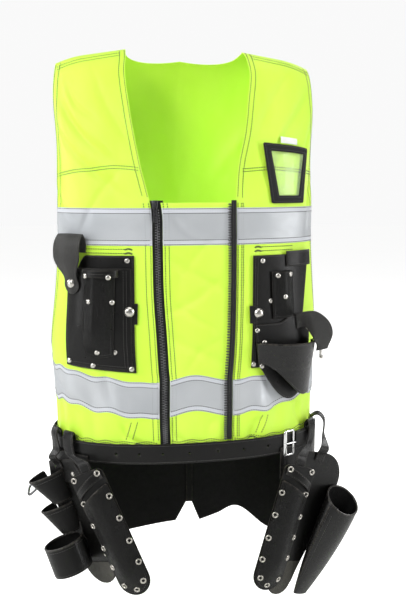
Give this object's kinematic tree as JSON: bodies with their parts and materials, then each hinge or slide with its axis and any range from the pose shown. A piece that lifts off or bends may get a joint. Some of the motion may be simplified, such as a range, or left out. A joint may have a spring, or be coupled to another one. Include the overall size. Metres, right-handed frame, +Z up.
{
  "type": "utility work vest with tool belt",
  "caption": "High-visibility work vest worn closed, with reflective bands, zips, leather chest pockets and a leather tool belt with hip pouches and holsters.",
  "frame": {"origin": "midway between the inner ends of the two shoulder seams", "axes": "+Z up, the front faces -Y, the wearer's left is +X"},
  "size_m": [0.6339, 0.3179, 1.0396],
  "materials": {
    "cloth": "fluorescent yellow-green polyester knit",
    "reflective": "silver-grey reflective tape",
    "leather": "black, semi-gloss, partly pebbled",
    "black": "matte black tape and moulded teeth",
    "film": "clear flexible film",
    "label": "white woven tape, blank",
    "nickel": "polished nickel"
  },
  "bodies": {
    "root": {"right_front_panel": "cloth", "left_front_panel": "cloth", "centre_panel": "cloth", "back_panel": "cloth", "chest_band_right": "reflective", "chest_band_left": "reflective", "chest_band_centre": "reflective", "chest_band_back": "reflective", "waist_band_right": "reflective", "waist_band_left": "reflective", "waist_band_centre": "reflective", "waist_band_back": "reflective", "right_zip_tape": "black", "right_zip_chain": "black", "right_zip_slider": "black", "left_zip_tape": "black", "left_zip_teeth": "black", "id_pocket_binding": "black", "id_pocket_window": "film", "label_tab": "label", "right_chest_plate": "leather", "right_chest_pocket": "leather", "right_rule_strip": "leather", "right_strip_band": "leather", "right_chest_flap": "leather", "right_flap_snap": "nickel", "right_chest_snap": "nickel", "left_chest_plate": "leather", "left_pen_strip": "leather", "left_pen_tab": "leather", "left_chest_snap": "nickel", "left_scoop_plate": "leather", "left_scoop": "leather", "left_scoop_strap": "leather", "left_strap_hook": "nickel", "belt": "leather", "belt_tip": "leather", "buckle_frame": "nickel", "buckle_prong": "nickel", "belt_keeper": "leather", "right_hip_plate": "leather", "right_upper_pouch": "leather", "right_middle_pouch": "leather", "right_cup": "leather", "hammer_ring": "nickel", "ring_tab": "leather", "right_holster_plate": "leather", "right_holster_pocket": "leather", "right_holster_band": "leather", "right_loop_outer": "leather", "right_loop_inner": "leather", "left_hip_plate": "leather", "left_long_pouch": "leather", "left_holster_plate": "leather", "left_holster_pocket": "leather", "left_holster_band": "leather", "left_loop_outer": "leather", "left_loop_inner": "leather", "right_rear_panel": "leather", "left_rear_panel": "leather"}
  },
  "joints": []
}
